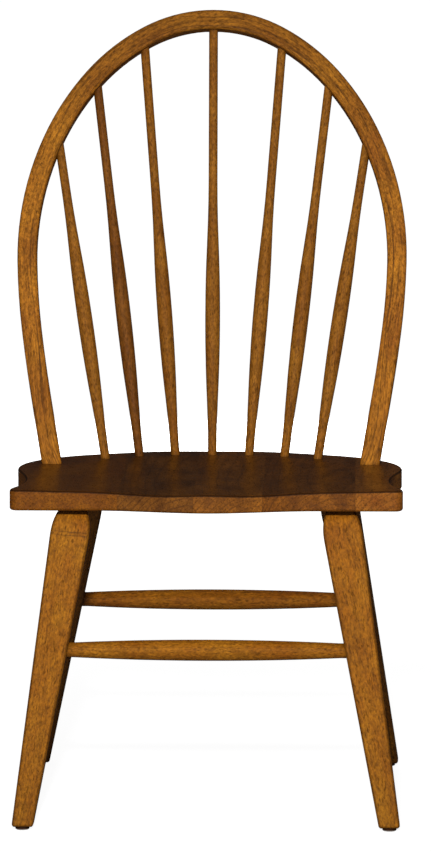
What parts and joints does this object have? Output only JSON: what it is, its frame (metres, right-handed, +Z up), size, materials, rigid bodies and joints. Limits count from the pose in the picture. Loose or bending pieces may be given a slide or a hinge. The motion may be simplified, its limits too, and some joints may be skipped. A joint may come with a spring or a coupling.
{
  "type": "windsor chair",
  "caption": "Bow-back windsor side chair with a shaped plank seat, swelled spindles, tapered square legs and turned stretchers, in brown stained wood.",
  "frame": {"origin": "on the floor, at the middle of the chair's bounding box from side to side and from front to back", "axes": "+Z up, -Y to the front of the seat, +X to the right of a viewer who stands in front of the chair"},
  "size_m": [0.5398, 0.5128, 1.0726],
  "materials": {
    "stained_wood": "satin golden brown stain with darker rubbed edges and open pores",
    "seat_wood": "satin stain, dark brown on the top face and golden brown on the edge",
    "glide_plastic": "matt moulded plastic",
    "steel": "zinc plated steel"
  },
  "bodies": {
    "root": {"hoop": "stained_wood", "spindle_1": "stained_wood", "spindle_2": "stained_wood", "spindle_3": "stained_wood", "spindle_4": "stained_wood", "spindle_5": "stained_wood", "spindle_6": "stained_wood", "spindle_7": "stained_wood", "seat_board_1": "seat_wood", "seat_board_2": "seat_wood", "seat_board_3": "seat_wood", "seat_board_4": "seat_wood", "seat_board_5": "seat_wood", "front_left_leg": "stained_wood", "front_left_glide": "glide_plastic", "front_right_leg": "stained_wood", "front_right_glide": "glide_plastic", "rear_left_leg": "stained_wood", "rear_left_glide": "glide_plastic", "rear_right_leg": "stained_wood", "rear_right_glide": "glide_plastic", "front_stretcher": "stained_wood", "rear_stretcher": "stained_wood", "left_side_stretcher": "stained_wood", "right_side_stretcher": "stained_wood", "glide_nails": "steel", "hoop_screws": "steel"}
  },
  "joints": []
}
